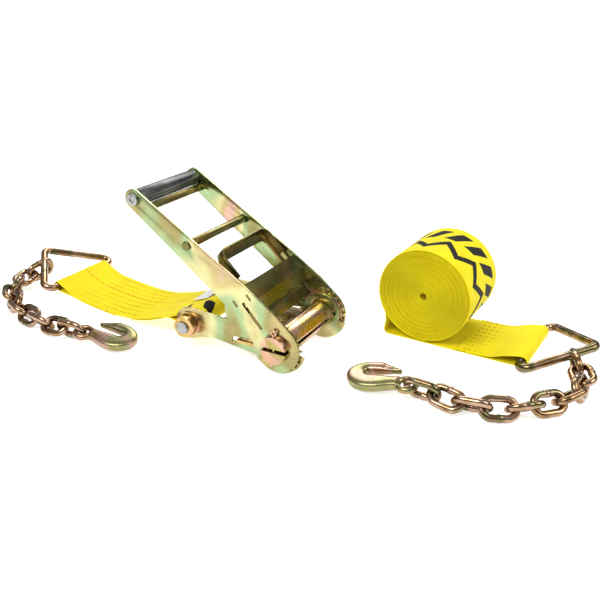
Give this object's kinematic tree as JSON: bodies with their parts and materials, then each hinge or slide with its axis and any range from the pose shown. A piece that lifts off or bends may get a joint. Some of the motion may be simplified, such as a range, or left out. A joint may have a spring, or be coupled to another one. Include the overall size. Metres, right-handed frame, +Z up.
{
  "type": "ratchet tie-down strap set",
  "caption": "Wide webbing ratchet tie-down in two halves: a ratchet buckle on a short strap and a rolled long strap, each ending in a delta ring, chain and eye grab hook.",
  "frame": {"origin": "bottom centre of the whole set's box, on the floor it lies on", "axes": "+Z up, +X along the set's length from the ratchet half's chain to the long half's chain, -Y towards the side the hooks lie on"},
  "size_m": [0.7932, 0.461, 0.2],
  "materials": {
    "zinc_plate": "yellow chromate plated pressed steel",
    "zinc_chain": "yellow chromate plated chain and forgings",
    "bright_steel": "bright zinc fasteners",
    "grip_grey": "dark grey steel tube",
    "webbing": "woven yellow polyester",
    "label": "white printed tag",
    "spring_steel": "spring wire"
  },
  "bodies": {
    "frame": {"frame_plate_near": "zinc_plate", "frame_plate_far": "zinc_plate", "frame_tie_plate": "zinc_plate", "anchor_bolt": "bright_steel", "anchor_nut_and_washer": "zinc_plate", "anchor_sleeve": "zinc_plate", "lock_spring_near": "spring_steel", "lock_spring_far": "spring_steel"},
    "spool": {"spool_half_upper": "zinc_plate", "spool_half_lower": "zinc_plate", "ratchet_wheel_near": "zinc_plate", "ratchet_wheel_far": "zinc_plate", "cotter_pin_near": "bright_steel", "cotter_pin_far": "bright_steel"},
    "handle": {"handle_plate_near": "zinc_plate", "handle_plate_far": "zinc_plate", "grip_tube": "grip_grey", "grip_rod": "bright_steel", "grip_bar": "zinc_plate", "brace_rod": "zinc_plate", "handle_cross_plate": "zinc_plate", "spring_seat": "zinc_plate", "drive_spring_near": "spring_steel", "drive_spring_far": "spring_steel"},
    "drive_pawl": {"drive_pawl": "zinc_plate", "pull_loop": "zinc_plate"},
    "lock_pawl": {"lock_pawl": "zinc_plate"},
    "short_strap": {"short_strap": "webbing", "strap_label": "label"},
    "ring_left": {"ring_left": "zinc_chain"},
    "long_strap": {"strap_roll": "webbing", "strap_tail": "webbing"},
    "ring_right": {"ring_right": "zinc_chain"},
    "link_left_01": {"link_left_01": "zinc_chain"},
    "link_left_02": {"link_left_02": "zinc_chain"},
    "link_left_03": {"link_left_03": "zinc_chain"},
    "link_left_04": {"link_left_04": "zinc_chain"},
    "link_left_05": {"link_left_05": "zinc_chain"},
    "link_left_06": {"link_left_06": "zinc_chain"},
    "link_left_07": {"link_left_07": "zinc_chain"},
    "link_left_08": {"link_left_08": "zinc_chain"},
    "link_left_09": {"link_left_09": "zinc_chain"},
    "link_left_10": {"link_left_10": "zinc_chain"},
    "hook_left": {"hook_left": "zinc_chain"},
    "link_right_01": {"link_right_01": "zinc_chain"},
    "link_right_02": {"link_right_02": "zinc_chain"},
    "link_right_03": {"link_right_03": "zinc_chain"},
    "link_right_04": {"link_right_04": "zinc_chain"},
    "link_right_05": {"link_right_05": "zinc_chain"},
    "link_right_06": {"link_right_06": "zinc_chain"},
    "link_right_07": {"link_right_07": "zinc_chain"},
    "link_right_08": {"link_right_08": "zinc_chain"},
    "link_right_09": {"link_right_09": "zinc_chain"},
    "link_right_10": {"link_right_10": "zinc_chain"},
    "hook_right": {"hook_right": "zinc_chain"}
  },
  "joints": [
    {"name": "spool_turn", "type": "hinge", "parent": "frame", "child": "spool", "pos_m": [0.03556, -0.06939, 0.03527], "axis": [-0.4873, -0.8733, 0], "continuous": true},
    {"name": "handle_swing", "type": "hinge", "parent": "frame", "child": "handle", "pos_m": [0.03556, -0.06939, 0.03527], "axis": [0.4873, 0.8733, 0], "range_deg": [-15, 120]},
    {"name": "drive_pawl_pull", "type": "slide", "parent": "handle", "child": "drive_pawl", "axis": [-0.5843, 0.326, 0.7431], "range_m": [0, 0.0075], "stiffness_N_per_m": 900, "springref_m": -0.006, "deforming": ["drive_spring_near", "drive_spring_far"]},
    {"name": "lock_pawl_pull", "type": "slide", "parent": "frame", "child": "lock_pawl", "axis": [-0.8733, 0.4873, 0], "range_m": [0, 0.007], "stiffness_N_per_m": 900, "springref_m": -0.006, "deforming": ["lock_spring_near", "lock_spring_far"]},
    {"name": "short_strap_swing", "type": "hinge", "parent": "frame", "child": "short_strap", "pos_m": [-0.07709, -0.00653, 0.03527], "axis": [-0.4873, -0.8733, 0], "range_deg": [-20, 20]},
    {"name": "ring_left_swing", "type": "hinge", "parent": "short_strap", "child": "ring_left", "pos_m": [-0.30084, 0.16326, 0.01177], "axis": [0.4873, 0.8733, 0], "range_deg": [-30, 60]},
    {"name": "long_half_lift_off", "type": "slide", "parent": "frame", "child": "long_strap", "axis": [0, 0, 1], "range_m": [0, 0.15]},
    {"name": "ring_right_swing", "type": "hinge", "parent": "long_strap", "child": "ring_right", "pos_m": [0.32548, -0.06614, 0.00787], "axis": [-0.5195, -0.8545, 0], "range_deg": [-20, 60]},
    {"name": "link_left_01_swing", "type": "hinge", "parent": "ring_left", "child": "link_left_01", "pos_m": [-0.36198, 0.17593, 0.02264], "axis": [0.2811, -0.9509, -0.1293], "range_deg": [-40, 40]},
    {"name": "link_left_02_swing", "type": "hinge", "parent": "link_left_01", "child": "link_left_02", "pos_m": [-0.37642, 0.15079, 0.01617], "axis": [-0.0379, -0.2557, 0.966], "range_deg": [-40, 5]},
    {"name": "link_left_03_swing", "type": "hinge", "parent": "link_left_02", "child": "link_left_03", "pos_m": [-0.38478, 0.12321, 0.01533], "axis": [-0.9338, 0.2644, 0.2411], "range_deg": [-40, 20]},
    {"name": "link_left_04_swing", "type": "hinge", "parent": "link_left_03", "child": "link_left_04", "pos_m": [-0.38252, 0.09424, 0.01533], "axis": [-0.4067, -0.0189, -0.9134], "range_deg": [-5, 40]},
    {"name": "link_left_05_swing", "type": "hinge", "parent": "link_left_04", "child": "link_left_05", "pos_m": [-0.37395, 0.0669, 0.01442], "axis": [0.8377, 0.2799, -0.4689], "range_deg": [-40, 40]},
    {"name": "link_left_06_swing", "type": "hinge", "parent": "link_left_05", "child": "link_left_06", "pos_m": [-0.35789, 0.04294, 0.01442], "axis": [0.4678, 0.3072, 0.8287], "range_deg": [-40, 40]},
    {"name": "link_left_07_swing", "type": "hinge", "parent": "link_left_06", "child": "link_left_07", "pos_m": [-0.33981, 0.02075, 0.01323], "axis": [-0.5945, -0.518, 0.615], "range_deg": [-40, 40]},
    {"name": "link_left_08_swing", "type": "hinge", "parent": "link_left_07", "child": "link_left_08", "pos_m": [-0.31814, 0.00196, 0.01373], "axis": [-0.4475, -0.5318, -0.719], "range_deg": [-40, 40]},
    {"name": "link_left_09_swing", "type": "hinge", "parent": "link_left_08", "child": "link_left_09", "pos_m": [-0.29514, -0.01513, 0.01373], "axis": [0.3824, 0.5167, -0.766], "range_deg": [-40, 40]},
    {"name": "link_left_10_swing", "type": "hinge", "parent": "link_left_09", "child": "link_left_10", "pos_m": [-0.27005, -0.02885, 0.01562], "axis": [0.3881, 0.775, 0.4987], "range_deg": [-40, 40]},
    {"name": "hook_left_swing", "type": "hinge", "parent": "link_left_10", "child": "hook_left", "pos_m": [-0.24406, -0.04088, 0.01487], "axis": [-0.121, -0.321, 0.9393], "range_deg": [-5, 40]},
    {"name": "link_right_01_swing", "type": "hinge", "parent": "ring_right", "child": "link_right_01", "pos_m": [0.36413, -0.11399, 0.01548], "axis": [-0.9706, -0.2214, -0.0939], "range_deg": [-40, 40]},
    {"name": "link_right_02_swing", "type": "hinge", "parent": "link_right_01", "child": "link_right_02", "pos_m": [0.35864, -0.14159, 0.01599], "axis": [0.2215, -0.049, -0.9739], "range_deg": [-40, 20]},
    {"name": "link_right_03_swing", "type": "hinge", "parent": "link_right_02", "child": "link_right_03", "pos_m": [0.35523, -0.17003, 0.01517], "axis": [0.9535, -0.1218, 0.2756], "range_deg": [-15, 40]},
    {"name": "link_right_04_swing", "type": "hinge", "parent": "link_right_03", "child": "link_right_04", "pos_m": [0.33627, -0.19283, 0.01517], "axis": [0.3481, -0.2688, -0.8981], "range_deg": [-40, 25]},
    {"name": "link_right_05_swing", "type": "hinge", "parent": "link_right_04", "child": "link_right_05", "pos_m": [0.3115, -0.2073, 0.01397], "axis": [0.3936, -0.7307, 0.5578], "range_deg": [-40, 40]},
    {"name": "link_right_06_swing", "type": "hinge", "parent": "link_right_05", "child": "link_right_06", "pos_m": [0.28367, -0.21465, 0.01397], "axis": [-0.1601, 0.5949, 0.7877], "range_deg": [-40, 40]},
    {"name": "link_right_07_swing", "type": "hinge", "parent": "link_right_06", "child": "link_right_07", "pos_m": [0.25544, -0.21947, 0.01323], "axis": [-0.1121, 0.7581, -0.6424], "range_deg": [-40, 40]},
    {"name": "link_right_08_swing", "type": "hinge", "parent": "link_right_07", "child": "link_right_08", "pos_m": [0.22677, -0.2177, 0.01373], "axis": [0.0535, 0.6932, 0.7187], "range_deg": [-40, 40]},
    {"name": "link_right_09_swing", "type": "hinge", "parent": "link_right_08", "child": "link_right_09", "pos_m": [0.20067, -0.20537, 0.01373], "axis": [-0.2823, -0.5785, 0.7653], "range_deg": [-40, 40]},
    {"name": "link_right_10_swing", "type": "hinge", "parent": "link_right_09", "child": "link_right_10", "pos_m": [0.17803, -0.18787, 0.01562], "axis": [-0.5533, -0.6674, -0.4984], "range_deg": [-40, 40]},
    {"name": "hook_right_swing", "type": "hinge", "parent": "link_right_10", "child": "hook_right", "pos_m": [0.15386, -0.17243, 0.01487], "axis": [-0.2003, -0.2774, 0.9396], "range_deg": [-40, 20]}
  ]
}
